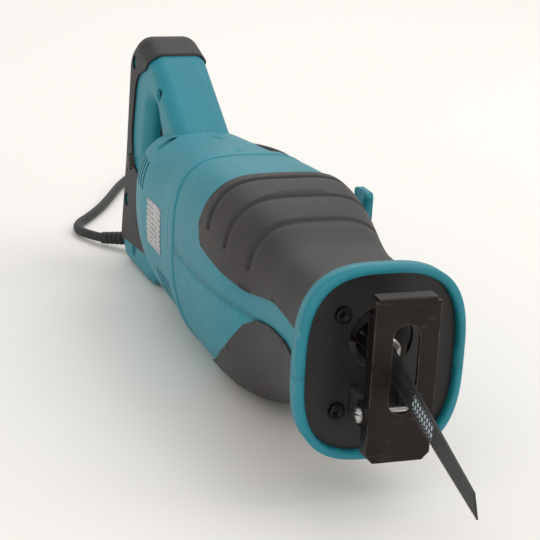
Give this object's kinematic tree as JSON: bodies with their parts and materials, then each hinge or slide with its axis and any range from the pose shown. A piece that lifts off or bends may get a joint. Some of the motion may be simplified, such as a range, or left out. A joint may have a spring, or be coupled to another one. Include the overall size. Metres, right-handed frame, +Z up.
{
  "type": "reciprocating saw",
  "caption": "Corded reciprocating saw with a D-handle, rubber-gripped nose, tilting shoe and a clamped blade.",
  "frame": {"origin": "middle of the belly's flat rest face, on the surface the saw lies on", "axes": "+X forward towards the blade, +Y to the tool's left, +Z up"},
  "size_m": [0.8182, 0.2393, 0.1631],
  "materials": {
    "teal_plastic": "satin moulded",
    "grip_rubber": "matt moulded",
    "seal_rubber": "matt",
    "cord_rubber": "satin",
    "black_plastic": "moulded",
    "black_paint": "satin paint",
    "steel": "machined",
    "dark_steel": "blackened",
    "cast_alloy": "cast",
    "bronze": "machined",
    "copper": "enamelled wire",
    "blade_paint": "painted, bare teeth",
    "label": "printed film"
  },
  "bodies": {
    "saw": {"front_cover_upper": "teal_plastic", "front_cover_lower": "teal_plastic", "top_grip_pad": "grip_rubber", "lower_grip_pad": "grip_rubber", "left_housing": "teal_plastic", "right_housing": "teal_plastic", "handle_rubber": "grip_rubber", "housing_screws": "steel", "rating_label": "label", "face_plate": "black_paint", "face_screws": "steel", "gear_case": "cast_alloy", "bearing_plate": "cast_alloy", "front_bushing": "bronze", "rear_bushing": "bronze", "dust_seal": "seal_rubber", "layshaft_front_bearing": "steel", "layshaft_rear_bearing": "steel", "motor_front_bearing": "steel", "motor_rear_bearing": "steel", "air_baffle": "black_plastic", "stator": "steel", "field_coils": "copper", "brush_holders": "bronze", "carbon_brushes": "black_plastic", "switch_body": "black_plastic", "trigger_pin": "steel", "cord_clamp": "black_plastic", "cord_guard": "cord_rubber", "cord": "cord_rubber", "cord_coil": "cord_rubber", "cord_tail": "cord_rubber", "plug_body": "cord_rubber", "plug_pins": "bronze"},
    "shoe_bracket": {"shoe_bracket": "steel"},
    "shoe": {"shoe": "dark_steel", "shoe_pivot_pin": "steel"},
    "plunger": {"plunger": "steel", "clamp_body": "steel", "blade_lock_pin": "steel", "clamp_spring": "steel", "blade": "blade_paint"},
    "clamp_collar": {"clamp_collar": "dark_steel"},
    "wobble_arm": {"wobble_arm": "steel"},
    "layshaft": {"layshaft": "steel", "drive_gear": "steel", "wobble_hub": "steel"},
    "armature": {"armature_shaft": "steel", "armature_core": "steel", "armature_windings": "copper", "commutator": "bronze", "fan": "black_plastic"},
    "trigger": {"trigger": "black_plastic"},
    "lock_button": {"lock_button": "black_plastic"},
    "mode_lever": {"mode_lever": "teal_plastic"}
  },
  "joints": [
    {"name": "shoe_bracket_slide", "type": "slide", "parent": "saw", "child": "shoe_bracket", "axis": [1, 0, 0], "range_m": [0, 0.02]},
    {"name": "shoe_tilt", "type": "hinge", "parent": "shoe_bracket", "child": "shoe", "pos_m": [0.188, 0, 0.056], "axis": [0, 1, 0], "range_deg": [-10, 10]},
    {"name": "plunger_slide", "type": "slide", "parent": "saw", "child": "plunger", "axis": [0.9962, 0, -0.0872], "range_m": [-0.014, 0.014]},
    {"name": "clamp_collar_twist", "type": "hinge", "parent": "plunger", "child": "clamp_collar", "pos_m": [0.172, 0, 0.084], "axis": [0.9962, 0, -0.0872], "range_deg": [0, 40], "stiffness_Nm_per_rad": 0.3},
    {"name": "wobble_arm_rock", "type": "hinge", "parent": "saw", "child": "wobble_arm", "pos_m": [0.022, 0, 0.036], "axis": [0, 1, 0], "range_deg": [-14, 14]},
    {"name": "layshaft_spin", "type": "hinge", "parent": "saw", "child": "layshaft", "pos_m": [0.022, 0, 0.036], "axis": [1, 0, 0], "continuous": true},
    {"name": "armature_spin", "type": "hinge", "parent": "saw", "child": "armature", "pos_m": [-0.098, 0, 0.066], "axis": [1, 0, 0], "continuous": true},
    {"name": "trigger_pull", "type": "hinge", "parent": "saw", "child": "trigger", "pos_m": [-0.208, 0, 0.122], "axis": [0, 1, 0], "range_deg": [0, 8], "stiffness_Nm_per_rad": 0.6},
    {"name": "lock_button_press", "type": "slide", "parent": "saw", "child": "lock_button", "axis": [0, 1, 0], "range_m": [0, 0.003], "stiffness_N_per_m": 700},
    {"name": "mode_lever_turn", "type": "hinge", "parent": "saw", "child": "mode_lever", "pos_m": [0.012, 0, 0.102], "axis": [0, 1, 0], "range_deg": [0, 60]}
  ],
  "couplings": [
    {"joint": "armature_spin", "follows": "layshaft_spin", "ratio": -5},
    {"joint": "wobble_arm_rock", "follows": "plunger_slide", "rad_per_m": 16.423}
  ]
}
